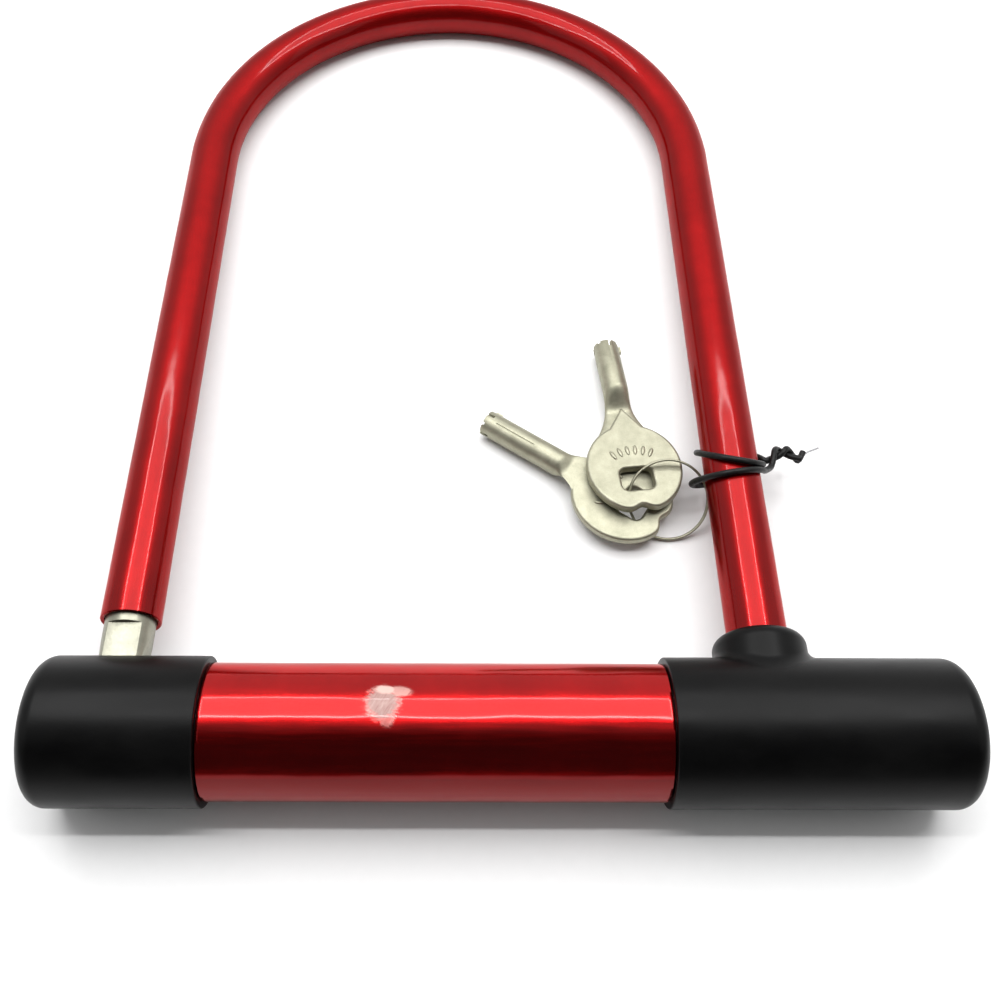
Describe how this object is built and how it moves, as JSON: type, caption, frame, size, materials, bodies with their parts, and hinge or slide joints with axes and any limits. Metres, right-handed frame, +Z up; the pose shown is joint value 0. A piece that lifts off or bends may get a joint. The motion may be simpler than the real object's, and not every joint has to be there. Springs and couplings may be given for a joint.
{
  "type": "u lock",
  "caption": "Bicycle U lock: a red film-covered round shackle in a straight crossbar with black end caps and a tubular lock cylinder, with its keys on a split ring tied to one leg.",
  "frame": {"origin": "centre of the object's footprint, on the surface it lies on", "axes": "+X along the crossbar towards the lock cylinder's end, +Y from the crossbar towards the bend of the shackle, +Z up from the surface"},
  "size_m": [0.23, 0.3054, 0.036],
  "materials": {
    "red_film": "glossy metallic red film",
    "black_plastic": "satin moulded black plastic",
    "nickel": "satin nickel plate",
    "bar_steel": "turned and plated hardened steel",
    "tube_steel": "plain drawn steel",
    "zinc": "die-cast zinc alloy",
    "brass": "turned brass",
    "spring_steel": "bright drawn wire and rod",
    "tie_plastic": "black plastic covering on wire"
  },
  "bodies": {
    "crossbar": {"crossbar_tube": "tube_steel", "crossbar_sleeve": "red_film", "left_end_cap": "black_plastic", "right_end_cap": "black_plastic", "foot_socket": "zinc", "foot_socket_pin": "spring_steel", "bolt_guide": "zinc", "bolt_guide_pin": "spring_steel", "lock_shell": "nickel", "lock_shell_pin": "spring_steel", "pin_barrel": "brass", "pin_barrel_pin": "spring_steel", "driver_pin_1": "brass", "driver_pin_2": "brass", "driver_pin_3": "brass", "driver_pin_4": "brass", "driver_pin_5": "brass", "driver_pin_6": "brass", "driver_pin_7": "brass", "pin_spring_1": "spring_steel", "pin_spring_2": "spring_steel", "pin_spring_3": "spring_steel", "pin_spring_4": "spring_steel", "pin_spring_5": "spring_steel", "pin_spring_6": "spring_steel", "pin_spring_7": "spring_steel"},
    "core": {"lock_spindle": "nickel", "spindle_clip": "spring_steel", "drive_pin": "spring_steel", "key_pin_1": "brass", "key_pin_2": "brass", "key_pin_3": "brass", "key_pin_4": "brass", "key_pin_5": "brass", "key_pin_6": "brass", "key_pin_7": "brass"},
    "bolt": {"locking_bolt": "bar_steel"},
    "shackle": {"shackle_bar": "bar_steel", "shackle_sleeve": "red_film", "twist_tie": "tie_plastic"},
    "ring": {"key_ring": "nickel"},
    "key_1": {"key_1_bow": "nickel", "key_1_barrel": "nickel"},
    "key_2": {"key_2_bow": "nickel", "key_2_barrel": "nickel"}
  },
  "joints": [
    {"name": "shackle_slide", "type": "slide", "parent": "crossbar", "child": "shackle", "axis": [0, 0.9993, -0.0363], "range_m": [0, 0.045]},
    {"name": "core_turn", "type": "hinge", "parent": "crossbar", "child": "core", "pos_m": [0.1, -0.13473, 0.018], "axis": [1, 0, 0], "range_deg": [0, 90]},
    {"name": "bolt_slide", "type": "slide", "parent": "crossbar", "child": "bolt", "axis": [-1, 0, 0], "range_m": [0, 0.005]},
    {"name": "ring_swing", "type": "hinge", "parent": "shackle", "child": "ring", "pos_m": [0.05975, -0.06049, 0.0095], "axis": [-0.454, 0.7613, 0.4629], "range_deg": [0, 10]},
    {"name": "key_1_swing", "type": "hinge", "parent": "ring", "child": "key_1", "pos_m": [0.04, -0.06023, 0.00865], "axis": [0, 0, 1], "range_deg": [0, 15]},
    {"name": "key_2_swing", "type": "hinge", "parent": "ring", "child": "key_2", "pos_m": [0.03875, -0.06753, 0.0048], "axis": [0, 0, 1], "range_deg": [-12, 15]}
  ],
  "couplings": [
    {"joint": "bolt_slide", "follows": "core_turn", "m_per_rad": 0.003183}
  ]
}
